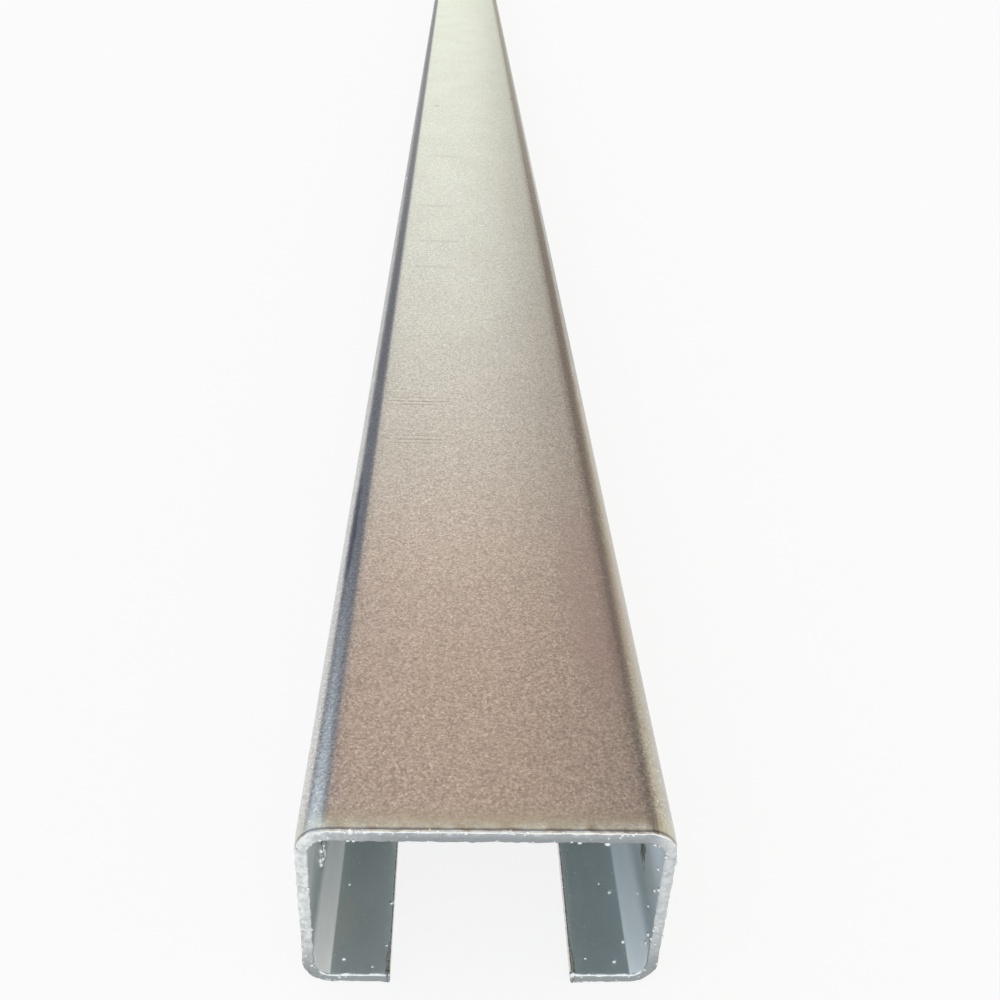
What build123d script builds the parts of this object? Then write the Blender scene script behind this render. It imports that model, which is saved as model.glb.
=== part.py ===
"""Strut channel: one strip of galvanised steel, cold rolled, with plain lips.

The strip runs along Y. The web is on top, the two flanges stand down from it
and the lips turn in below, with the slot between them. The origin is the
middle of the footprint, on the level that the lips stand on.
All sizes are in millimetres.
"""

import os

from build123d import *

# Section, measured over the outside of the strip.
width = 41.3          # over the two flanges
height = 25.0         # from the underside of the lips to the top of the web
slot = 21.0           # between the free edges of the lips
sheet = 1.5           # thickness of the strip
bend_radius = 2.0     # inside radius of all four bends

# Stock length.
length = 1000.0

# Edge finish.
slit_round = 0.4      # rounding along the free edges of the lips
end_break = 0.2       # chamfer round both cut ends
edge_share = 0.4      # the most of the strip's thickness that either may take

skin_radius = bend_radius + sheet
half_width = width / 2
half_slot = slot / 2
lip_round = min(slit_round, edge_share * sheet)
end_chamfer = min(end_break, edge_share * sheet)


def strip_section() -> Sketch:
    """The rolled strip in section: its outer skin, thickened inwards."""
    with BuildSketch(Plane.XZ) as section:
        with BuildLine():
            FilletPolyline(
                (-half_slot, 0),
                (-half_width, 0),
                (-half_width, height),
                (half_width, height),
                (half_width, 0),
                (half_slot, 0),
                radius=skin_radius,
            )
            offset(amount=sheet, side=Side.RIGHT)
        make_face()
        lip_corners = section.vertices().filter_by(
            lambda corner: abs(corner.X) < half_slot + lip_round / 2
        )
        fillet(lip_corners, radius=lip_round)
    return section.sketch


def rolled_channel() -> Part:
    """The section at its stock length, sawn square and deburred at both ends."""
    blank = extrude(strip_section(), amount=length / 2, both=True)
    cut_ends = blank.faces().filter_by(Axis.Y)
    return chamfer(cut_ends.edges(), length=end_chamfer)


strut_channel = rolled_channel()
strut_channel.label = "strut_channel"

os.makedirs("parts", exist_ok=True)
export_step(strut_channel, "parts/strut_channel.step")

print(f"section {strip_section().area:.1f} mm2")
print(f"solid {strut_channel.volume:.0f} mm3")
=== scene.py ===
"""Dresses the cold-rolled strut channel: zinc-coated strip, cut-end beads and runs, studio and camera."""

import logging
import math
import random
from dataclasses import dataclass, field
from enum import Enum, IntEnum

import bmesh
import bpy
from mathutils import Matrix, Vector, noise


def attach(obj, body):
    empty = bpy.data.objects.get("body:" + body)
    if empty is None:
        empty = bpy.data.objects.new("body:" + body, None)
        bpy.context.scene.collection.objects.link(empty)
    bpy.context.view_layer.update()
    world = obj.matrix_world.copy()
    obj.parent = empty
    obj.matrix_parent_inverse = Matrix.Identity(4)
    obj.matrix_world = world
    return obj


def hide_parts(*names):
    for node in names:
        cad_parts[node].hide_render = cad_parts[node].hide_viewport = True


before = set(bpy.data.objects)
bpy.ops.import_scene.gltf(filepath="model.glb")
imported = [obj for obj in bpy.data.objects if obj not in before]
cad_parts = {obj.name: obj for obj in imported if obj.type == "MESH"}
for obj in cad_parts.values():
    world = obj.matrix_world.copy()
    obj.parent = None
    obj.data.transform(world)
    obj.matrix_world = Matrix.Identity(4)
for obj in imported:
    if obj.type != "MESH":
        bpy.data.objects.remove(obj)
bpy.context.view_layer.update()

LOG = logging.getLogger("strut_channel")
MM = 0.001
CAD_NODE = "strut_channel"
BODY = "root"

LUMP_SHIFT = Vector((7, 3, 1))  # moves the fine lumps' noise away from the coarse lumps'
QUICK_SHIFT = 9.0  # and the quick wave's from the slow wave's

Triple = tuple[float, float, float]
Colour = Triple
Stops = tuple[tuple[float, Colour], ...]


class Skin(IntEnum):
    """The faces of the strip that have a finish of their own, as material slots."""

    OUTER = 0
    INNER = 1
    CUT = 2


class CutEnd(Enum):
    """One of the two cut ends, by the sign of its place along Y."""

    NEAR = -1
    FAR = 1


def place_piece(
    bm: bmesh.types.BMesh, name: str, scale: float = MM, smooth: bool = True
) -> bpy.types.Object:
    """Turns finished mesh work into an object in the scene.

    Args:
        bm: the mesh work, which is freed.
        name: the name of the object and its mesh.
        scale: metres for each unit of the mesh work.
        smooth: whether its faces are shaded smooth.

    Returns:
        The object.
    """
    bmesh.ops.scale(bm, vec=(scale, scale, scale), verts=bm.verts[:])
    for face in bm.faces:
        face.smooth = smooth
    mesh = bpy.data.meshes.new(name)
    bm.to_mesh(mesh)
    bm.free()
    piece = bpy.data.objects.new(name, mesh)
    bpy.context.scene.collection.objects.link(piece)
    return piece


def lay_drop(
    bm: bmesh.types.BMesh, spot: Vector, facing: Vector, radius: float, flatten: float, detail: int
) -> None:
    """Adds one flattened drop against a face.

    Args:
        bm: the mesh to add it to.
        spot: the drop's middle.
        facing: the outward direction of the face it lies on.
        radius: its radius along the face.
        flatten: its height as a share of its radius.
        detail: how often the drop's faces are divided.
    """
    turn = facing.to_track_quat("Z", "Y").to_matrix().to_4x4()
    squash = Matrix.Diagonal((1.0, 1.0, flatten, 1.0))
    bmesh.ops.create_icosphere(
        bm, subdivisions=detail, radius=radius, matrix=Matrix.Translation(spot) @ turn @ squash
    )


class NodeSheet:
    """Adds nodes to one node tree and wires them."""

    def __init__(self, tree: bpy.types.NodeTree, clear: bool = True) -> None:
        """Takes a tree, and empties it unless told not to.

        Args:
            tree: the node tree to fill.
            clear: whether the tree's present nodes are removed first.
        """
        self.tree = tree
        if clear:
            tree.nodes.clear()

    def node(self, kind: str, inputs: dict | None = None, **settings: object) -> bpy.types.Node:
        """Adds one node.

        Args:
            kind: the node's type name.
            inputs: a value or an output socket for each input, by its name or number.
            settings: properties of the node, such as operation.

        Returns:
            The new node.
        """
        made = self.tree.nodes.new(kind)
        for name, value in settings.items():
            setattr(made, name, value)
        for key, value in (inputs or {}).items():
            self._feed(made.inputs[key], value)
        return made

    def _feed(self, socket: bpy.types.NodeSocket, value: object) -> None:
        """Links a socket to another's output, or sets its value.

        Args:
            socket: the input to feed.
            value: an output socket, a number, a vector or a colour.
        """
        if isinstance(value, bpy.types.NodeSocket):
            self.tree.links.new(value, socket)
        elif socket.type == "RGBA":
            socket.default_value = (*value, 1.0)[:4]
        else:
            socket.default_value = value

    def maths(self, operation: str, *values: object, clamp: bool = False) -> bpy.types.NodeSocket:
        """Works out one number from others.

        Args:
            operation: the Math node's operation.
            values: numbers or sockets, in order.
            clamp: whether the result is kept from 0 to 1.

        Returns:
            The result's socket.
        """
        inputs = dict(enumerate(values))
        return self.node("ShaderNodeMath", inputs, operation=operation, use_clamp=clamp).outputs[0]

    def vector(self, operation: str, *values: object) -> bpy.types.NodeSocket:
        """Works out one vector, or a length, from others.

        Args:
            operation: the Vector Math node's operation.
            values: vectors or sockets, in order.

        Returns:
            The result's socket.
        """
        made = self.node("ShaderNodeVectorMath", dict(enumerate(values)), operation=operation)
        return made.outputs["Value" if operation in ("LENGTH", "DOT_PRODUCT") else "Vector"]

    def blend(
        self, factor: object, first: object, second: object, mode: str = "MIX"
    ) -> bpy.types.NodeSocket:
        """Mixes two colours.

        Args:
            factor: how much of the second is in the mix.
            first: a colour or socket.
            second: a colour or socket.
            mode: the blend type.

        Returns:
            The mixed colour's socket.
        """
        made = self.node("ShaderNodeMix", data_type="RGBA", blend_type=mode)
        for place, value in ((0, factor), (6, first), (7, second)):
            self._feed(made.inputs[place], value)
        return made.outputs[2]

    def ease(
        self, value: object, low: float, high: float, start: float = 0.0, end: float = 1.0
    ) -> bpy.types.NodeSocket:
        """Maps a value smoothly from one range to another and holds it at both ends.

        Args:
            value: the number's socket.
            low: where the change starts.
            high: where the change ends.
            start: the result up to low.
            end: the result from high on.

        Returns:
            The mapped number's socket.
        """
        inputs = {0: value, 1: low, 2: high, 3: start, 4: end}
        return self.node("ShaderNodeMapRange", inputs, interpolation_type="SMOOTHSTEP").outputs[0]

    def ramp(self, value: object, stops: Stops) -> bpy.types.NodeSocket:
        """Reads a colour from a row of stops.

        Args:
            value: the number from 0 to 1 to look up.
            stops: place and colour of each stop.

        Returns:
            The colour's socket.
        """
        made = self.node("ShaderNodeValToRGB", {0: value})
        line = made.color_ramp
        while len(line.elements) < len(stops):
            line.elements.new(1.0)
        for element, (place, colour) in zip(line.elements, stops):
            element.position = place
            element.color = (*colour, 1.0)
        return made.outputs[0]

    def group(self, tree: bpy.types.NodeTree, **inputs: object) -> bpy.types.Node:
        """Places a node group.

        Args:
            tree: the group's own tree.
            inputs: values or sockets by input name, with _ for a space.

        Returns:
            The group node.
        """
        made = self.node("ShaderNodeGroup", node_tree=tree)
        for name, value in inputs.items():
            self._feed(made.inputs[name.replace("_", " ")], value)
        return made


class ZincGroups:
    """The node groups that the zinc finishes share. Each is built once."""

    def __init__(self) -> None:
        """Builds the groups."""
        self.place = self._place()
        self.grain = self._grain()
        self.mottle = self._mottle()
        self.mark = self._mark()

    @staticmethod
    def _start(name: str, inputs: dict[str, tuple[str, object]], outputs: dict[str, str]) -> tuple:
        """Makes an empty group with its sockets.

        Args:
            name: the group's name.
            inputs: socket type and default for each input name.
            outputs: socket type for each output name.

        Returns:
            The tree, its node sheet, the input node and the output node.
        """
        tree = bpy.data.node_groups.new(name, "ShaderNodeTree")
        for label, (kind, value) in inputs.items():
            tree.interface.new_socket(label, in_out="INPUT", socket_type=kind).default_value = value
        for label, kind in outputs.items():
            tree.interface.new_socket(label, in_out="OUTPUT", socket_type=kind)
        sheet = NodeSheet(tree)
        return tree, sheet, sheet.node("NodeGroupInput"), sheet.node("NodeGroupOutput")

    def _place(self) -> bpy.types.NodeTree:
        """Gives the point in millimetres, and how far it lies from the nearer cut end.

        Returns:
            The group's tree.
        """
        tree, sheet, entry, end = self._start(
            "zinc_place",
            {"Half Length": ("NodeSocketFloat", 500.0)},
            {"Point": "NodeSocketVector", "From End": "NodeSocketFloat"},
        )
        spot = sheet.node("ShaderNodeTexCoord").outputs["Object"]
        point = sheet.vector("MULTIPLY", spot, (1 / MM,) * 3)
        along = sheet.node("ShaderNodeSeparateXYZ", {0: point}).outputs["Y"]
        inside = sheet.maths("SUBTRACT", entry.outputs[0], sheet.maths("ABSOLUTE", along))
        tree.links.new(point, end.inputs["Point"])
        tree.links.new(inside, end.inputs["From End"])
        return tree

    def _grain(self) -> bpy.types.NodeTree:
        """Fine grain of the coating: flecks, their height and a few bright specks.

        Returns:
            The group's tree.
        """
        tree, sheet, entry, end = self._start(
            "zinc_grain",
            {
                "Point": ("NodeSocketVector", (0.0, 0.0, 0.0)),
                "Grain Size": ("NodeSocketFloat", 0.3),
                "Speck Share": ("NodeSocketFloat", 0.05),
            },
            {"Fleck": "NodeSocketFloat", "Height": "NodeSocketFloat", "Speck": "NodeSocketFloat"},
        )
        point = entry.outputs["Point"]
        rate = sheet.maths("DIVIDE", 1.0, entry.outputs["Grain Size"])
        fine = sheet.node(
            "ShaderNodeTexNoise", {"Vector": point, "Scale": rate, "Detail": 2.0, "Roughness": 0.7}
        )
        cell_rate = sheet.maths("MULTIPLY", rate, 1.1)
        cells = sheet.node("ShaderNodeTexVoronoi", {"Vector": point, "Scale": cell_rate})
        draws = sheet.node("ShaderNodeSeparateColor", {0: cells.outputs["Color"]}).outputs
        core = sheet.ease(cells.outputs["Distance"], 0.05, 0.65, 1.0, 0.0)
        crumb = sheet.maths("MULTIPLY", sheet.maths("POWER", draws[1], 3.0), core)
        soft = sheet.ease(fine.outputs["Fac"], 0.15, 0.95)
        fleck = sheet.maths("MULTIPLY_ADD", crumb, 0.7, soft, clamp=True)
        chosen = sheet.maths("LESS_THAN", draws[0], entry.outputs["Speck Share"])
        tree.links.new(fleck, end.inputs["Fleck"])
        tree.links.new(fleck, end.inputs["Height"])
        tree.links.new(sheet.maths("MULTIPLY", chosen, core), end.inputs["Speck"])
        return tree

    def _mottle(self) -> bpy.types.NodeTree:
        """Slow cloudy variation, longer along the strip than across it.

        Returns:
            The group's tree.
        """
        tree, sheet, entry, end = self._start(
            "zinc_mottle",
            {
                "Point": ("NodeSocketVector", (0.0, 0.0, 0.0)),
                "Cloud Size": ("NodeSocketFloat", 15.0),
                "Stretch": ("NodeSocketFloat", 2.0),
            },
            {"Cloud": "NodeSocketFloat", "Tone": "NodeSocketFloat"},
        )
        along = sheet.maths("DIVIDE", 1.0, entry.outputs["Stretch"])
        squeeze = sheet.node("ShaderNodeCombineXYZ", {0: 1.0, 1: along, 2: 1.0})
        drawn = sheet.vector("MULTIPLY", entry.outputs["Point"], squeeze.outputs[0])
        rate = sheet.maths("DIVIDE", 1.0, entry.outputs["Cloud Size"])
        slow = sheet.node(
            "ShaderNodeTexNoise", {"Vector": drawn, "Scale": rate, "Detail": 3.0, "Roughness": 0.55}
        )
        other = sheet.node(
            "ShaderNodeTexNoise",
            {"Vector": sheet.vector("ADD", drawn, (31.0, 17.0, 5.0)), "Scale": rate, "Detail": 2.0},
        )
        tree.links.new(sheet.ease(slow.outputs["Fac"], 0.3, 0.7), end.inputs["Cloud"])
        tree.links.new(sheet.ease(other.outputs["Fac"], 0.35, 0.65), end.inputs["Tone"])
        return tree

    def _mark(self) -> bpy.types.NodeTree:
        """One spot, scratch, stain or painted reflection band, as a soft ellipsoid with a ragged edge.

        Returns:
            The group's tree.
        """
        tree, sheet, entry, end = self._start(
            "zinc_mark",
            {
                "Point": ("NodeSocketVector", (0.0, 0.0, 0.0)),
                "Centre": ("NodeSocketVector", (0.0, 0.0, 0.0)),
                "Half Size": ("NodeSocketVector", (1.0, 1.0, 1.0)),
                "Ragged": ("NodeSocketFloat", 0.3),
                "Rag Size": ("NodeSocketFloat", 1.0),
            },
            {"Mask": "NodeSocketFloat"},
        )
        point = entry.outputs["Point"]
        offset = sheet.vector("SUBTRACT", point, entry.outputs["Centre"])
        reach = sheet.vector("LENGTH", sheet.vector("DIVIDE", offset, entry.outputs["Half Size"]))
        rate = sheet.maths("DIVIDE", 1.0, entry.outputs["Rag Size"])
        rag = sheet.node("ShaderNodeTexNoise", {"Vector": point, "Scale": rate, "Detail": 2.0})
        swing = sheet.maths("SUBTRACT", rag.outputs["Fac"], 0.5)
        shift = sheet.maths("MULTIPLY", swing, entry.outputs["Ragged"])
        ragged = sheet.maths("ADD", reach, sheet.maths("MULTIPLY", shift, 4.0))
        mask = sheet.ease(ragged, 0.35, 1.0, 1.0, 0.0)
        tree.links.new(mask, end.inputs["Mask"])
        return tree


@dataclass(frozen=True)
class Mark:
    """A spot, scratch, stain or painted reflection band on the zinc, in millimetres."""

    centre: Triple
    half_size: Triple
    colour: Colour
    strength: float = 1.0
    ragged: float = 0.3
    rag_size: float = 1.0

    def lay(
        self, sheet: NodeSheet, groups: ZincGroups, point: bpy.types.NodeSocket, under: object
    ) -> bpy.types.NodeSocket:
        """Lays the mark over a colour.

        Args:
            sheet: the material's node sheet.
            groups: the shared node groups.
            point: the surface point in millimetres.
            under: the colour below.

        Returns:
            The colour with the mark on it.
        """
        spot = sheet.group(
            groups.mark, Point=point, Centre=self.centre, Half_Size=self.half_size,
            Ragged=self.ragged, Rag_Size=self.rag_size,
        )
        return sheet.blend(sheet.maths("MULTIPLY", spot.outputs[0], self.strength), under, self.colour)


@dataclass(frozen=True)
class ZincFinish:
    """What all zinc finishes share: a name, a roughness and the grain's bump."""

    name: str
    roughness: float
    bump_strength: float
    bump_height: float

    def _begin(self, groups: ZincGroups) -> tuple[bpy.types.Material, NodeSheet, bpy.types.Node]:
        """Makes the material with its place group.

        Args:
            groups: the shared node groups.

        Returns:
            The material, its node sheet and the place group's node.
        """
        material = bpy.data.materials.new(self.name)
        material.use_nodes = True
        sheet = NodeSheet(material.node_tree)
        return material, sheet, sheet.group(groups.place)

    def _close(
        self,
        sheet: NodeSheet,
        colour: bpy.types.NodeSocket,
        rough: object,
        height: bpy.types.NodeSocket,
        metal: object = 1.0,
    ) -> None:
        """Adds the bump, the shader and the output.

        Args:
            sheet: the material's node sheet.
            colour: the base colour.
            rough: the roughness or its socket.
            height: the bump's height.
            metal: the metallic share or its socket.
        """
        bump = sheet.node(
            "ShaderNodeBump",
            {"Strength": self.bump_strength, "Distance": self.bump_height * MM, "Height": height},
        )
        shader = sheet.node(
            "ShaderNodeBsdfPrincipled",
            {"Base Color": colour, "Roughness": rough, "Metallic": metal, "Normal": bump.outputs[0]},
        )
        sheet.node("ShaderNodeOutputMaterial", {"Surface": shader.outputs[0]})


@dataclass(frozen=True)
class RolledZinc(ZincFinish):
    """Satin zinc of the strip's outer side, with roll marks, nicks, painted dark and olive reflections
    along the bends and a duller line at each cut.
    """

    name: str = "rolled_zinc"
    dark_fleck: Colour = (0.37, 0.36, 0.34)
    light_fleck: Colour = (0.97, 0.97, 0.94)
    grain_size: float = 0.36
    cloudy: Colour = (0.60, 0.58, 0.55)
    speck: Colour = (0.95, 0.94, 0.90)
    speck_share: float = 0.02
    roughness: float = 0.24
    roughness_spread: float = 0.02
    bump_strength: float = 0.25
    bump_height: float = 0.02
    end_strip: Colour = (0.60, 0.60, 0.50)
    end_line: Colour = (0.24, 0.24, 0.27)
    marks: tuple[Mark, ...] = ()

    def make(self, groups: ZincGroups) -> bpy.types.Material:
        """Builds the material.

        Args:
            groups: the shared node groups.

        Returns:
            The material.
        """
        material, sheet, place = self._begin(groups)
        point, inside = place.outputs["Point"], place.outputs["From End"]
        grain = sheet.group(
            groups.grain, Point=point, Grain_Size=self.grain_size, Speck_Share=self.speck_share
        )
        cloud = sheet.group(groups.mottle, Point=point, Cloud_Size=14.0, Stretch=1.6)
        colour = sheet.blend(grain.outputs["Fleck"], self.dark_fleck, self.light_fleck)
        colour = sheet.blend(sheet.maths("MULTIPLY", cloud.outputs["Cloud"], 0.1), colour, self.cloudy)
        for mark in self.marks:
            colour = mark.lay(sheet, groups, point, colour)
        colour = sheet.blend(sheet.ease(inside, 1.6, 4.2, 0.65, 0.0), colour, self.end_strip)
        line = sheet.maths(
            "MULTIPLY", sheet.ease(inside, 0.45, 0.6), sheet.ease(inside, 0.65, 1.0, 1.0, 0.0)
        )
        colour = sheet.blend(line, colour, self.end_line)
        colour = sheet.blend(grain.outputs["Speck"], colour, self.speck)
        rough = sheet.maths("MULTIPLY_ADD", cloud.outputs["Tone"], self.roughness_spread, self.roughness)
        self._close(sheet, colour, rough, grain.outputs["Height"])
        return material


@dataclass(frozen=True)
class InnerZinc(ZincFinish):
    """Duller zinc of the channel's inside, with brownish marks near the cut, painted pale reflections along
    the lower inner bends and painted bluish light on the right wall.
    """

    name: str = "inner_zinc"
    dark: Colour = (0.52, 0.57, 0.57)
    light: Colour = (0.66, 0.71, 0.71)
    left_bend_reflection: Colour = (0.95, 0.95, 0.92)
    right_bend_reflection: Colour = (0.84, 0.92, 0.97)
    right_wall_light: Colour = (0.70, 0.80, 0.88)
    bend_reflection_metal: float = 0.2
    pale_fleck: Colour = (0.80, 0.84, 0.82)
    speck: Colour = (0.85, 0.86, 0.84)
    speck_share: float = 0.012
    roughness: float = 0.36
    roughness_spread: float = 0.08
    bump_strength: float = 0.2
    bump_height: float = 0.02
    marks: tuple[Mark, ...] = ()

    def make(self, groups: ZincGroups) -> bpy.types.Material:
        """Builds the material.

        Args:
            groups: the shared node groups.

        Returns:
            The material.
        """
        material, sheet, place = self._begin(groups)
        point = place.outputs["Point"]
        grain = sheet.group(groups.grain, Point=point, Grain_Size=0.4, Speck_Share=self.speck_share)
        cloud = sheet.group(groups.mottle, Point=point, Cloud_Size=8.0, Stretch=3.0)
        colour = sheet.blend(cloud.outputs["Cloud"], self.dark, self.light)
        colour = sheet.blend(sheet.maths("MULTIPLY", grain.outputs["Fleck"], 0.3), colour, self.pale_fleck)
        spot = sheet.node("ShaderNodeSeparateXYZ", {0: point}).outputs
        low = sheet.ease(spot["Z"], 3.0, 9.0, 1.0, 0.0)
        # Painted light: bluish streaks of light on the right inner wall.
        light_streaks = sheet.maths("MULTIPLY_ADD", cloud.outputs["Tone"], 0.6, 0.4)
        right_wall_light_share = sheet.maths("MULTIPLY", sheet.ease(spot["X"], 17.2, 17.5), light_streaks)
        colour = sheet.blend(right_wall_light_share, colour, self.right_wall_light)
        # Painted reflection: pale, less metallic bands along the lower inner bends, paler on the left and
        # bluer on the right.
        bend_reflection_mask = sheet.maths("MULTIPLY", sheet.ease(sheet.maths("ABSOLUTE", spot["X"]), 17.3, 17.5), low)
        pale = sheet.blend(sheet.ease(spot["X"], -1.0, 1.0), self.left_bend_reflection, self.right_bend_reflection)
        colour = sheet.blend(bend_reflection_mask, colour, pale)
        metal = sheet.ease(bend_reflection_mask, 0.0, 1.0, 1.0, self.bend_reflection_metal)
        for mark in self.marks:
            colour = mark.lay(sheet, groups, point, colour)
        colour = sheet.blend(grain.outputs["Speck"], colour, self.speck)
        rough = sheet.maths("MULTIPLY_ADD", cloud.outputs["Tone"], self.roughness_spread, self.roughness)
        self._close(sheet, colour, rough, grain.outputs["Height"], metal)
        return material


@dataclass(frozen=True)
class CutZinc(ZincFinish):
    """Lumpy bright zinc over the cut face, greyer where it turns down: painted highlights on the
    upward-facing rounding, on the flanks, more on the left, and at the top-left corner, and painted shade
    on the lower halves of the web and lips.
    """

    name: str = "cut_zinc"
    # Painted light levels: bright for painted highlights, fair and dull for the lit and shaded parts of the
    # cut face.
    bright: Colour = (0.88, 0.91, 0.91)
    fair: Colour = (0.66, 0.69, 0.70)
    dull: Colour = (0.33, 0.35, 0.36)
    pit: Colour = (0.34, 0.37, 0.39)
    speck: Colour = (0.96, 0.96, 0.95)
    speck_share: float = 0.06
    roughness: float = 0.36
    roughness_spread: float = 0.12
    bump_strength: float = 0.8
    bump_height: float = 0.08

    def make(self, groups: ZincGroups) -> bpy.types.Material:
        """Builds the material.

        Args:
            groups: the shared node groups.

        Returns:
            The material.
        """
        material, sheet, place = self._begin(groups)
        point = place.outputs["Point"]
        grain = sheet.group(groups.grain, Point=point, Grain_Size=0.35, Speck_Share=self.speck_share)
        cloud = sheet.group(groups.mottle, Point=point, Cloud_Size=0.8, Stretch=1.0)
        facing = sheet.node("ShaderNodeNewGeometry").outputs["Normal"]
        upward = sheet.node("ShaderNodeSeparateXYZ", {0: facing}).outputs["Z"]
        spot = sheet.node("ShaderNodeSeparateXYZ", {0: point}).outputs
        # Painted light and shade: the flanks' cut faces lighter above their feet and more on the left, the
        # web's and lips' cut faces darker on their lower halves, and a painted highlight at the top-left
        # corner.
        foot = sheet.ease(spot["Z"], 1.5, 12.0)
        flank = sheet.ease(sheet.maths("ABSOLUTE", spot["X"]), 16.5, 19.5)
        lit_from_left = sheet.ease(spot["X"], -20.0, 20.0, 1.0, 0.55)
        face = sheet.maths("MULTIPLY", sheet.maths("MULTIPLY", foot, flank), lit_from_left)
        lip_top = sheet.ease(spot["Z"], 0.5, 1.3, 0.0, 0.6)
        web_upper_light = sheet.ease(spot["Z"], 23.9, 24.7, 0.1, 0.8)
        leftward = sheet.ease(spot["X"], -19.0, -7.0, 0.9, 0.0)
        top_left_highlight = sheet.maths("MULTIPLY", leftward, sheet.ease(spot["Z"], 20.0, 24.0))
        level = sheet.maths("MAXIMUM", sheet.maths("MULTIPLY", lip_top, web_upper_light), face)
        level = sheet.maths("MAXIMUM", level, top_left_highlight)
        colour = sheet.blend(level, self.dull, self.fair)
        colour = sheet.blend(face, colour, self.bright)
        colour = sheet.blend(sheet.maths("MULTIPLY", cloud.outputs["Cloud"], 0.5), colour, self.pit)
        # Painted highlight on the upward-facing rounding.
        colour = sheet.blend(sheet.ease(upward, 0.25, 0.6), colour, self.bright)
        colour = sheet.blend(grain.outputs["Speck"], colour, self.speck)
        rough = sheet.maths("MULTIPLY_ADD", grain.outputs["Fleck"], self.roughness_spread, self.roughness)
        self._close(sheet, colour, rough, cloud.outputs["Tone"])
        return material


@dataclass(frozen=True)
class BeadZinc(ZincFinish):
    """Clean shiny zinc of the frozen beads and runs."""

    name: str = "bead_zinc"
    shade: Colour = (0.70, 0.71, 0.72)
    colour: Colour = (0.90, 0.91, 0.91)
    roughness: float = 0.22
    bump_strength: float = 0.3
    bump_height: float = 0.03

    def make(self, groups: ZincGroups) -> bpy.types.Material:
        """Builds the material.

        Args:
            groups: the shared node groups.

        Returns:
            The material.
        """
        material, sheet, place = self._begin(groups)
        point = place.outputs["Point"]
        cloud = sheet.group(groups.mottle, Point=point, Cloud_Size=0.6, Stretch=1.0)
        colour = sheet.blend(cloud.outputs["Cloud"], self.shade, self.colour)
        self._close(sheet, colour, self.roughness, cloud.outputs["Tone"])
        return material


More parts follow.
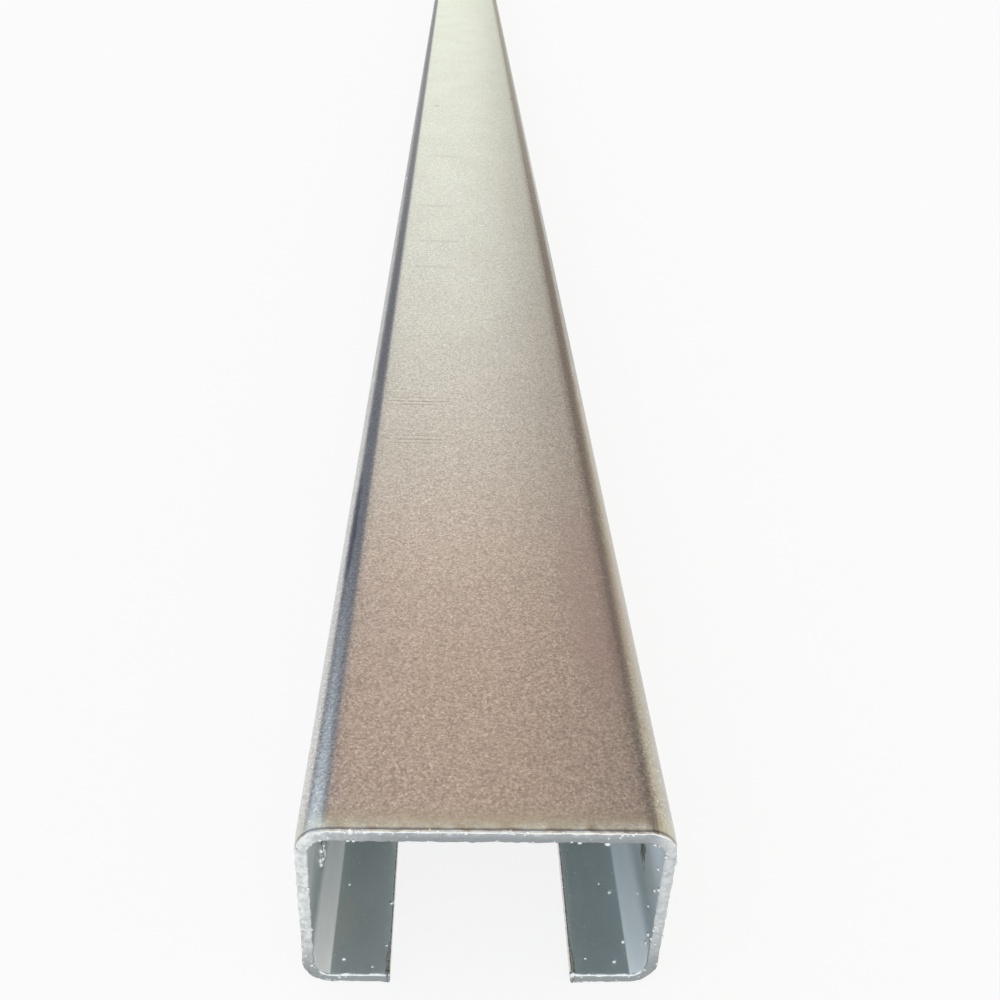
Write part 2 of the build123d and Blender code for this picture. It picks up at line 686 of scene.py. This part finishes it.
@dataclass
class ChannelStrip:
    """The rolled strip: web on top, a flange down each side and a plain lip turned in at each foot."""

    width: float = 41.3
    height: float = 25.0
    length: float = 1000.0
    slot: float = 21.0
    sheet: float = 1.5
    outer_bend: float = 3.5
    bend_steps: int = 10
    column: float = 1.2
    arris: float = 0.42
    arris_steps: int = 4
    arris_angle: float = 60.0
    end_rings: tuple[tuple[float, int], ...] = ((0.6, 4), (2.6, 1))
    ring: float = 5.0
    end_cuts: int = 3
    slack: float = 0.01
    droop: float = 0.22
    droop_reach: float = 3.0
    lump: float = 0.11
    lump_reach: float = 1.6
    lump_rates: tuple[float, float] = (0.9, 2.1)
    fine_lump: float = 0.6
    wave: float = 0.006
    wave_start: float = 1.0
    wave_rise: float = 10.0
    slow_rates: Triple = (0.06, 0.03, 0.06)
    quick_rates: Triple = (0.15, 0.09, 0.15)
    quick_share: float = 0.4
    wave_sink: float = 0.6
    mesh: bpy.types.Mesh | None = field(default=None, repr=False)

    def _outline(self, bm: bmesh.types.BMesh) -> list[bmesh.types.BMEdge]:
        """Draws the outside of the section at the near end, from lip edge to lip edge.

        Args:
            bm: the mesh to draw in.

        Returns:
            The outline's edges.
        """
        half, near = self.width / 2, -self.length / 2
        corners = [
            (-self.slot / 2, 0.0), (-half, 0.0), (-half, self.height),
            (half, self.height), (half, 0.0), (self.slot / 2, 0.0),
        ]
        posts = [bm.verts.new((x, near, z)) for x, z in corners]
        for first, second in zip(posts, posts[1:]):
            bm.edges.new((first, second))
        bmesh.ops.bevel(
            bm, geom=posts[1:-1], affect="VERTICES", offset=self.outer_bend, offset_type="OFFSET",
            segments=self.bend_steps, profile=0.5, material=-1,
        )
        for edge in [e for e in bm.edges if e.calc_length() > self.column]:
            cuts = max(1, round(edge.calc_length() / self.column)) - 1
            bmesh.ops.subdivide_edges(bm, edges=[edge], cuts=cuts)
        return list(bm.edges)

    def _draw_out(self, bm: bmesh.types.BMesh, front: list[bmesh.types.BMEdge]) -> None:
        """Draws the outline along Y, in fine rings at both ends.

        Args:
            bm: the mesh.
            front: the edges to draw out.
        """
        plain = self.length - 2 * sum(step * count for step, count in self.end_rings)
        rings = round(plain / self.ring)
        runs = [*self.end_rings, (plain / rings, rings), *self.end_rings[::-1]]
        for step, count in runs:
            corners = list(dict.fromkeys(vert for edge in front for vert in edge.verts))
            drawn = bmesh.ops.spin(
                bm, geom=front + corners, angle=0.0, steps=count, axis=(0, 1, 0), cent=(0, 0, 0),
                dvec=(0, step, 0),
            )
            front = [item for item in drawn["geom_last"] if isinstance(item, bmesh.types.BMEdge)]
        bmesh.ops.recalc_face_normals(bm, faces=bm.faces[:])
        if max(bm.faces, key=lambda face: face.calc_center_median().z).normal.z < 0:
            bmesh.ops.reverse_faces(bm, faces=bm.faces[:])

    def _from_end(self, point: Vector) -> float:
        """How far a point lies inside the nearer cut end, in millimetres."""
        return self.length / 2 - abs(point.y)

    def _thicken(self, bm: bmesh.types.BMesh) -> bmesh.types.BMLayerItem:
        """Gives the strip its thickness inward, with fine columns at the cut ends.

        Args:
            bm: the mesh of the outer side.

        Returns:
            The layer that holds how deep in the sheet a vertex lies, from 0 outside to 1 inside.
        """
        depth = bm.verts.layers.float.new("sheet_depth")
        outside = set(bm.verts)
        bmesh.ops.solidify(bm, geom=bm.faces[:], thickness=self.sheet)
        for vert in bm.verts:
            vert[depth] = 0.0 if vert in outside else 1.0
        step, count = self.end_rings[0]
        band = step * count + self.slack
        across = [
            edge
            for edge in bm.edges
            if all(self._from_end(vert.co) < band for vert in edge.verts)
            and abs(edge.verts[0].co.y - edge.verts[1].co.y) < self.slack
            and edge.verts[0][depth] == edge.verts[1][depth]
        ]
        bmesh.ops.subdivide_edges(bm, edges=across, cuts=self.end_cuts, use_grid_fill=True)
        bmesh.ops.triangulate(bm, faces=[face for face in bm.faces if len(face.verts) > 4])
        return depth

    def _round_arrises(self, bm: bmesh.types.BMesh) -> None:
        """Rounds the arrises of the cut ends and of the lips' free edges.

        Args:
            bm: the closed mesh.
        """
        bm.normal_update()
        sharp = math.radians(self.arris_angle)
        arrises = [edge for edge in bm.edges if edge.calc_face_angle(0.0) > sharp]
        bmesh.ops.bevel(
            bm, geom=arrises, affect="EDGES", offset=self.arris, offset_type="OFFSET",
            segments=self.arris_steps, profile=0.5, material=-1, clamp_overlap=True,
        )

    def _settle(self, bm: bmesh.types.BMesh, depth: bmesh.types.BMLayerItem) -> None:
        """Draws the outer side down a little at the cuts, and lets the zinc stand in lumps and waves.

        Args:
            bm: the closed mesh.
            depth: the depth layer.
        """
        bm.normal_update()
        coarse, fine = self.lump_rates
        for vert in bm.verts:
            inside, spot = self._from_end(vert.co), vert.co
            normal = vert.normal.copy()
            beside = (abs(spot.x) - self.slot / 2) / self.lump_reach if spot.z < 2 * self.sheet else 1.0
            held = min(1.0, max(0.0, beside))
            edge = max(0.0, 1 - inside / self.lump_reach) * held
            lumps = noise.noise(spot * coarse) + self.fine_lump * noise.noise(spot * fine + LUMP_SHIFT)
            slow = noise.noise(Vector([part * rate for part, rate in zip(spot, self.slow_rates)]))
            scaled = [part * rate for part, rate in zip(spot, self.quick_rates)]
            quick = noise.noise(Vector((scaled[0] + QUICK_SHIFT, scaled[1], scaled[2])))
            fade = min(1.0, max(0.0, inside - self.wave_start) / self.wave_rise)
            pull = self.droop * held * (1 - vert[depth]) * max(0.0, 1 - inside / self.droop_reach) ** 2
            waves = self.wave * fade * (slow + self.quick_share * quick - self.wave_sink)
            vert.co += normal * (self.lump * edge * lumps + waves - pull)

    def _sort_skins(self, bm: bmesh.types.BMesh, depth: bmesh.types.BMLayerItem) -> None:
        """Gives every face the finish of its side of the sheet.

        Args:
            bm: the closed mesh.
            depth: the depth layer.
        """
        for face in bm.faces:
            deep = sum(vert[depth] for vert in face.verts) / len(face.verts)
            middle = face.calc_center_median()
            rim = abs(middle.x) < self.slot / 2 + self.arris and middle.z < 2 * self.sheet
            face.material_index = Skin.OUTER if deep < 0.5 or rim else Skin.INNER
            if self._from_end(middle) < self.arris:
                face.material_index = Skin.CUT

    def build(self) -> bpy.types.Object:
        """Makes the strip's mesh.

        Returns:
            The strip as an object.
        """
        bm = bmesh.new()
        self._draw_out(bm, self._outline(bm))
        depth = self._thicken(bm)
        self._round_arrises(bm)
        self._sort_skins(bm, depth)
        self._settle(bm, depth)
        strip = place_piece(bm, "channel_strip")
        self.mesh = strip.data
        return strip

    def dress(self, strip: bpy.types.Object, finishes: dict[Skin, bpy.types.Material]) -> None:
        """Gives the strip its finishes and puts it in the CAD node's place.

        Args:
            strip: the strip's object.
            finishes: the material of each side.
        """
        for skin in Skin:
            strip.data.materials.append(finishes[skin])
        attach(strip, BODY)
        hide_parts(CAD_NODE)


@dataclass
class ZincBeads:
    """Frozen beads of zinc on the arrises of the cut ends."""

    strip: ChannelStrip
    count: int = 40
    web_count: int = 22
    web_level: float = 24.3
    small: float = 0.12
    large: float = 0.24
    flatten: float = 0.65
    seed: int = 11
    proud: float = 0.1
    detail: int = 2
    placed: tuple[Triple, ...] = (
        (-14.4, 25.0, 0.36), (-7.5, 25.0, 0.26), (-5.3, 25.0, 0.24), (2.3, 25.0, 0.34), (9.9, 23.5, 0.3),
        (12.6, 23.5, 0.38), (10.7, 1.5, 0.42), (20.6, 20.4, 0.26), (19.1, 16.2, 0.28), (-20.2, 6.0, 0.22),
    )

    def _seats(self, end: CutEnd) -> list[tuple[Vector, Vector]]:
        """Finds where a bead can sit on one cut end.

        Args:
            end: the cut end.

        Returns:
            Point and outward direction of each seat, in millimetres.
        """
        seats = []
        for vert in self.strip.mesh.vertices:
            spot = vert.co / MM
            if spot.y * end.value > 0 and self.strip.length / 2 - abs(spot.y) < self.strip.arris:
                seats.append((spot, vert.normal.copy()))
        return sorted(seats, key=lambda seat: [round(part, 3) for part in seat[0]])

    def _bead(self, bm: bmesh.types.BMesh, seat: tuple[Vector, Vector], radius: float) -> None:
        """Adds one bead on a seat, a little proud of the surface."""
        spot, normal = seat
        lay_drop(bm, spot + normal * radius * self.proud, normal, radius, self.flatten, self.detail)

    def build(self) -> bpy.types.Object:
        """Makes the beads of both ends as one mesh.

        Returns:
            The beads as an object.
        """
        bm = bmesh.new()
        pick = random.Random(self.seed)
        for end in CutEnd:
            seats = self._seats(end)
            for x, z, radius in self.placed:
                seat = min(seats, key=lambda seat: (seat[0].x - x) ** 2 + (seat[0].z - z) ** 2)
                self._bead(bm, seat, radius)
            upper = [seat for seat in seats if seat[0].z > self.web_level]
            for choice, count in ((seats, self.count), (upper, self.web_count)):
                for _ in range(count):
                    seat = pick.choice(choice)
                    self._bead(bm, seat, pick.uniform(self.small, self.large))
        return place_piece(bm, "zinc_beads")

    def dress(self, beads: bpy.types.Object, finish: bpy.types.Material) -> None:
        """Gives the beads their finish and lets them ride with the strip.

        Args:
            beads: the beads' object.
            finish: the bead material.
        """
        beads.data.materials.append(finish)
        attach(beads, BODY)


@dataclass
class ZincRuns:
    """Larger runs and drops of zinc inside the near mouth and under one lip, in millimetres."""

    near: float = -500.0
    wall: float = 19.15
    lip_top: float = 1.5
    seed: int = 23
    blob: Triple = (-19.15, 9.8, 10.4)
    blob_lumps: int = 16
    blob_scatter: float = 0.5
    blob_spread: Triple = (0.25, 1.3, 1.5)
    blob_size: tuple[float, float] = (0.3, 0.62)
    wall_drops: tuple[Triple, ...] = (
        (8.9, 5.0, 0.3), (1.9, 14.0, 0.26), (2.0, 17.4, 0.24), (1.5, 7.0, 0.3), (2.0, 4.9, 0.28),
        (3.4, 9.5, 0.2),
    )
    lip_drops: tuple[Triple, ...] = (
        (17.2, 4.7, 0.28), (16.4, 12.0, 0.36), (15.8, 2.0, 0.28), (15.2, 13.3, 0.22), (12.4, 2.4, 0.2),
        (-16.3, 13.0, 0.26), (-10.9, 10.2, 0.3), (-11.1, 4.1, 0.2), (-16.0, 2.2, 0.26), (-12.6, 1.2, 0.2),
    )
    drip: tuple[tuple[float, float, float, float], ...] = (
        (10.75, 0.35, 1.15, 0.42), (10.9, 0.3, 0.3, 0.36), (11.4, 0.3, 0.22, 0.34), (12.0, 0.3, 0.2, 0.3),
        (12.7, 0.3, 0.2, 0.26),
    )
    flatten: float = 0.7
    detail: int = 3
    uneven: float = 0.05
    uneven_rate: float = 3.0

    def _drop(self, bm: bmesh.types.BMesh, spot: Vector, radius: float, facing: Vector) -> None:
        """Adds one drop that lies against a face."""
        lay_drop(bm, spot, facing, radius, self.flatten, self.detail)

    def _settle(self, bm: bmesh.types.BMesh) -> None:
        """Makes the drops a little uneven, as frozen zinc is."""
        bm.normal_update()
        for vert in bm.verts:
            vert.co += vert.normal * self.uneven * noise.noise(vert.co * self.uneven_rate)

    def build(self) -> bpy.types.Object:
        """Makes all runs and drops as one mesh.

        Returns:
            The runs as an object.
        """
        bm = bmesh.new()
        pick = random.Random(self.seed)
        middle = Vector((self.blob[0], self.near + self.blob[1], self.blob[2]))
        for _ in range(self.blob_lumps):
            offset = Vector([pick.gauss(0.0, self.blob_scatter) * reach for reach in self.blob_spread])
            offset.x = abs(offset.x)
            self._drop(bm, middle + offset, pick.uniform(*self.blob_size), Vector((1, 0, 0)))
        for inside, z, radius in self.wall_drops:
            self._drop(bm, Vector((self.wall, self.near + inside, z)), radius, Vector((-1, 0, 0)))
        for x, inside, radius in self.lip_drops:
            self._drop(bm, Vector((x, self.near + inside, self.lip_top)), radius, Vector((0, 0, 1)))
        for x, inside, z, radius in self.drip:
            self._drop(bm, Vector((x, self.near + inside, z)), radius, Vector((0, -1, 0)))
        self._settle(bm)
        return place_piece(bm, "zinc_runs")

    def dress(self, runs: bpy.types.Object, finish: bpy.types.Material) -> None:
        """Gives the runs their finish and lets them ride with the strip.

        Args:
            runs: the runs' object.
            finish: the bead material.
        """
        runs.data.materials.append(finish)
        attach(runs, BODY)


@dataclass
class Studio:
    """A pale floor under a soft, uneven sky of light."""

    floor_half: float = 4.0
    floor_level: float = -0.2 * MM
    floor_colour: Colour = (0.86, 0.86, 0.85)
    lit_share: float = 0.16
    ahead: Stops = (
        (0 / 90, (1.12, 1.17, 1.05)), (7 / 90, (1.14, 1.23, 1.05)), (12 / 90, (1.16, 1.22, 1.05)),
        (17 / 90, (1.11, 1.14, 1.04)), (21 / 90, (1.15, 1.16, 1.09)), (26 / 90, (0.99, 0.95, 0.85)),
        (31 / 90, (0.92, 0.80, 0.71)), (36 / 90, (0.82, 0.61, 0.49)), (41 / 90, (0.76, 0.54, 0.44)),
        (46 / 90, (0.67, 0.47, 0.36)), (54 / 90, (0.60, 0.46, 0.36)), (63 / 90, (0.80, 0.76, 0.62)),
    )
    left: Stops = (
        (0.00, (0.46, 0.43, 0.43)), (0.22, (0.36, 0.36, 0.37)), (0.34, (0.15, 0.16, 0.19)),
        (0.48, (0.20, 0.21, 0.26)), (0.58, (0.16, 0.17, 0.21)), (0.66, (0.36, 0.40, 0.48)),
        (0.72, (0.75, 0.86, 1.00)), (0.80, (1.05, 1.15, 1.25)), (1.00, (1.05, 1.10, 1.15)),
    )
    right: Stops = (
        (0.00, (0.30, 0.24, 0.21)), (0.10, (0.25, 0.20, 0.17)), (0.30, (0.28, 0.23, 0.19)),
        (0.40, (0.42, 0.36, 0.29)), (0.52, (0.70, 0.62, 0.50)), (0.66, (0.85, 0.80, 0.68)),
        (0.85, (1.00, 0.96, 0.86)), (1.00, (1.05, 1.02, 0.94)),
    )
    overhead: Colour = (1.08, 1.08, 1.06)
    behind: Colour = (1.05, 1.07, 1.09)
    backdrop: Colour = (0.973, 0.973, 0.973)
    lane_left: tuple[float, float] = (-0.27, -0.1)
    lane_right: tuple[float, float] = (0.075, 0.31)
    glow: float = 0.35
    glow_across: tuple[float, float] = (0.16, 0.32)
    glow_rise: tuple[float, float] = (0.12, 0.24)
    overhead_rise: tuple[float, float] = (0.8, 0.94)
    behind_depth: tuple[float, float] = (-0.1, 0.2)
    side_change: tuple[float, float] = (-0.05, 0.05)

    def _sides(
        self, sheet: NodeSheet, x: bpy.types.NodeSocket, rise: bpy.types.NodeSocket
    ) -> bpy.types.NodeSocket:
        """Builds the light to the left and right, which darkens away from the lane ahead.

        Args:
            sheet: the world's node sheet.
            x: how far to the right the direction points.
            rise: how far up it points.

        Returns:
            The light's colour.
        """
        leftward = sheet.maths("MULTIPLY_ADD", rise, 0.75, sheet.maths("MULTIPLY", x, -1.0))
        left = sheet.ramp(sheet.maths("MULTIPLY", leftward, 0.8, clamp=True), self.left)
        rightward = sheet.maths("MULTIPLY_ADD", rise, -0.3, x)
        right = sheet.ramp(sheet.maths("ADD", rightward, 0.0, clamp=True), self.right)
        return sheet.blend(sheet.ease(x, *self.side_change), left, right)

    def _lane(
        self,
        sheet: NodeSheet,
        x: bpy.types.NodeSocket,
        z: bpy.types.NodeSocket,
        rise: bpy.types.NodeSocket,
    ) -> bpy.types.NodeSocket:
        """Marks out the lane of brighter light ahead, with a low glow to its right.

        Args:
            sheet: the world's node sheet.
            x: how far to the right the direction points.
            z: how far up it points.
            rise: the same, held above the horizon.

        Returns:
            The lane's share, from 0 to 1.
        """
        to_left = sheet.maths("DIVIDE", x, sheet.maths("ADD", rise, 0.25))
        to_right = sheet.maths("DIVIDE", x, sheet.maths("ADD", rise, 0.05))
        lane = sheet.maths(
            "MULTIPLY",
            sheet.ease(to_left, *self.lane_left),
            sheet.ease(to_right, *self.lane_right, 1.0, 0.0),
        )
        across = sheet.ease(x, *self.glow_across, self.glow, 0.0)
        low = sheet.maths("MULTIPLY", across, sheet.ease(z, *self.glow_rise, 1.0, 0.0))
        low = sheet.maths("MULTIPLY", low, sheet.ease(x, *self.side_change))
        return sheet.maths("MAXIMUM", lane, low)

    def world(self) -> bpy.types.World:
        """Builds the light around the object, brighter overhead and behind the viewer.

        Returns:
            The world.
        """
        world = bpy.data.worlds.new("soft_studio")
        world.use_nodes = True
        sheet = NodeSheet(world.node_tree)
        way = sheet.node("ShaderNodeTexCoord").outputs["Generated"]
        parts = sheet.node("ShaderNodeSeparateXYZ", {0: sheet.vector("NORMALIZE", way)})
        x, y, z = parts.outputs
        rise = sheet.maths("MAXIMUM", z, 0.02)
        height = sheet.maths("DIVIDE", sheet.maths("ARCSINE", rise), math.pi / 2)
        ahead = sheet.ramp(height, self.ahead)
        light = sheet.blend(self._lane(sheet, x, z, rise), self._sides(sheet, x, rise), ahead)
        light = sheet.blend(sheet.ease(z, *self.overhead_rise), light, self.overhead)
        light = sheet.blend(sheet.ease(y, *self.behind_depth, 1.0, 0.0), light, self.behind)
        seen = sheet.node("ShaderNodeLightPath").outputs["Is Camera Ray"]
        light = sheet.blend(seen, light, self.backdrop)
        back = sheet.node("ShaderNodeBackground", {"Color": light, "Strength": 1.0})
        sheet.node("ShaderNodeOutputWorld", {"Surface": back.outputs[0]})
        bpy.context.scene.world = world
        return world

    def _floor_material(self) -> bpy.types.Material:
        """Pale floor that reads as white and keeps a soft shadow.

        Returns:
            The material.
        """
        material = bpy.data.materials.new("pale_floor")
        material.use_nodes = True
        sheet = NodeSheet(material.node_tree)
        path = sheet.node("ShaderNodeLightPath").outputs
        seen = sheet.maths("MAXIMUM", path["Is Camera Ray"], path["Is Glossy Ray"])
        seen = sheet.maths("MAXIMUM", seen, path["Is Transmission Ray"])
        glow = sheet.node("ShaderNodeEmission", {"Color": (1.0, 1.0, 1.0, 1.0), "Strength": 1.0})
        matt = sheet.node("ShaderNodeBsdfDiffuse", {"Color": (*self.floor_colour, 1.0)})
        share = sheet.maths("MULTIPLY", seen, 1 - self.lit_share)
        mixed = sheet.node("ShaderNodeMixShader", {0: share, 1: matt.outputs[0], 2: glow.outputs[0]})
        sheet.node("ShaderNodeOutputMaterial", {"Surface": mixed.outputs[0]})
        return material

    def floor(self) -> bpy.types.Object:
        """Lays the floor.

        Returns:
            The floor's object.
        """
        bm = bmesh.new()
        bmesh.ops.create_grid(bm, x_segments=2, y_segments=2, size=self.floor_half)
        bmesh.ops.translate(bm, vec=(0, 0, self.floor_level), verts=bm.verts[:])
        floor = place_piece(bm, "studio_floor", scale=1.0, smooth=False)
        floor.data.materials.append(self._floor_material())
        return floor


@dataclass
class ViewCamera:
    """A hand-held view from above one cut end, looking along the channel."""

    place: Triple = (-5.25, -581.32, 114.42)
    pitch: float = 30.83
    yaw: float = 3.24
    roll: float = 2.98
    lens: float = 39.70
    sensor: float = 36.0
    clip: tuple[float, float] = (0.01, 50.0)

    def build(self) -> bpy.types.Object:
        """Sets up the camera.

        Returns:
            The camera's object.
        """
        pitch, yaw, roll = (math.radians(angle) for angle in (self.pitch, self.yaw, self.roll))
        ahead = Vector((math.sin(yaw) * math.cos(pitch), math.cos(yaw) * math.cos(pitch), -math.sin(pitch)))
        level = Vector((math.cos(yaw), -math.sin(yaw), 0.0))
        upright = level.cross(ahead)
        right = math.cos(roll) * level + math.sin(roll) * upright
        above = math.cos(roll) * upright - math.sin(roll) * level
        camera = bpy.data.objects.new("view_camera", bpy.data.cameras.new("view_camera"))
        camera.data.lens = self.lens
        camera.data.sensor_width = self.sensor
        camera.data.clip_start, camera.data.clip_end = self.clip
        turn = Matrix((right, above, -ahead)).transposed().to_4x4()
        camera.matrix_world = Matrix.Translation(Vector(self.place) * MM) @ turn
        bpy.context.scene.collection.objects.link(camera)
        bpy.context.scene.camera = camera
        return camera


def roll_lines(x: float, y: float, half_width: float, strength: float) -> tuple[Mark, ...]:
    """Lays out the fine dark lines, with paler ones between, that a roll leaves across the web.

    Args:
        x: the middle of the lines across the strip, in millimetres.
        y: the middle of the cluster along the strip, in millimetres.
        half_width: half the lines' length across the strip.
        strength: how plain the lines are.

    Returns:
        The marks of one cluster.
    """
    dark, pale = (0.33, 0.30, 0.32), (0.80, 0.78, 0.76)
    lines = ((-1.2, dark, 0.2), (-0.5, pale, 0.22), (0.1, dark, 0.3), (0.9, pale, 0.2), (1.6, dark, 0.18))
    return tuple(
        Mark((x, y + step, 25.0), (half_width, half_depth, 2.0), colour, strength, 0.25, 2.0)
        for step, colour, half_depth in lines
    )


OUTER_MARKS_AND_REFLECTIONS = (
    # Painted reflections: dark bands along the left and right upper bends, an olive band on the right bend
    # near the cut and a dark bluish strip on the left bend near the cut.
    Mark((-20.5, -40.0, 22.4), (2.5, 520.0, 3.7), (0.18, 0.18, 0.21), 0.9, 0.1, 4.0),
    Mark((20.6, -350.0, 22.6), (2.2, 150.0, 3.2), (0.20, 0.19, 0.16), 0.9, 0.1, 4.0),
    Mark((20.0, -445.0, 22.5), (2.4, 90.0, 5.0), (0.45, 0.41, 0.33), 0.9, 0.1, 4.0),
    Mark((-19.2, -441.0, 24.3), (0.9, 22.0, 1.3), (0.22, 0.23, 0.27), 0.8, 0.2, 3.0),
    *roll_lines(-11.2, -397.0, 7.6, 0.7),
    *roll_lines(-10.8, -412.0, 6.8, 0.6),
    Mark((-9.0, -322.0, 25.0), (8.0, 1.2, 2.0), (0.45, 0.42, 0.42), 0.4, 0.2, 3.0),
    Mark((-9.0, -302.0, 25.0), (8.0, 1.2, 2.0), (0.45, 0.42, 0.42), 0.4, 0.2, 3.0),
    Mark((-9.0, -270.0, 25.0), (8.0, 1.4, 2.0), (0.45, 0.42, 0.42), 0.4, 0.2, 3.0),
    Mark((-9.0, -213.0, 25.0), (8.0, 1.8, 2.0), (0.45, 0.42, 0.42), 0.35, 0.2, 3.0),
    Mark((-12.5, -134.0, 25.0), (1.6, 1.6, 1.0), (0.25, 0.24, 0.24), 0.7, 0.2, 1.0),
    Mark((16.9, -115.0, 25.0), (0.8, 2.0, 1.0), (0.25, 0.24, 0.24), 0.7, 0.2, 1.0),
    Mark((15.5, -457.0, 25.0), (6.0, 32.0, 4.0), (0.62, 0.55, 0.56), 0.5, 0.15, 8.0),
    Mark((-19.9, -237.5, 24.0), (0.6, 1.8, 1.2), (0.97, 0.97, 0.97), 1.0, 0.1, 1.0),
    Mark((-19.2, -465.0, 23.0), (0.35, 0.35, 1.2), (0.97, 0.97, 0.97), 1.0, 0.1, 1.0),
    Mark((17.3, -452.5, 24.8), (1.2, 0.25, 1.0), (0.9, 0.9, 0.88), 0.8, 0.2, 0.4),
)

INNER_MARKS = (
    Mark((-19.1, -488.5, 9.0), (1.2, 2.6, 2.8), (0.26, 0.21, 0.19), 0.85, 0.5, 1.2),
    Mark((19.1, -490.0, 12.0), (1.2, 2.6, 2.0), (0.13, 0.09, 0.07), 0.9, 0.5, 1.0),
    Mark((-16.4, -491.8, 1.5), (1.3, 4.6, 1.0), (0.84, 0.80, 0.66), 0.4, 0.9, 0.35),
)


def main() -> None:
    """Builds every piece in order and reports it."""
    groups = ZincGroups()
    strip = ChannelStrip()
    body = strip.build()
    finishes = {
        Skin.OUTER: RolledZinc(marks=OUTER_MARKS_AND_REFLECTIONS).make(groups),
        Skin.INNER: InnerZinc(marks=INNER_MARKS).make(groups),
        Skin.CUT: CutZinc().make(groups),
    }
    strip.dress(body, finishes)
    LOG.info("channel strip: %d faces", len(body.data.polygons))
    beads = ZincBeads(strip)
    drops = beads.build()
    bead_finish = BeadZinc().make(groups)
    beads.dress(drops, bead_finish)
    LOG.info("zinc beads: %d faces", len(drops.data.polygons))
    mouth = ZincRuns()
    runs = mouth.build()
    mouth.dress(runs, bead_finish)
    LOG.info("zinc runs: %d faces", len(runs.data.polygons))
    studio = Studio()
    studio.floor()
    studio.world()
    ViewCamera().build()
    bpy.context.scene.view_settings.view_transform = "Standard"


if __name__ == "__main__":
    logging.basicConfig(level=logging.INFO, format="%(name)s: %(message)s")
    main()
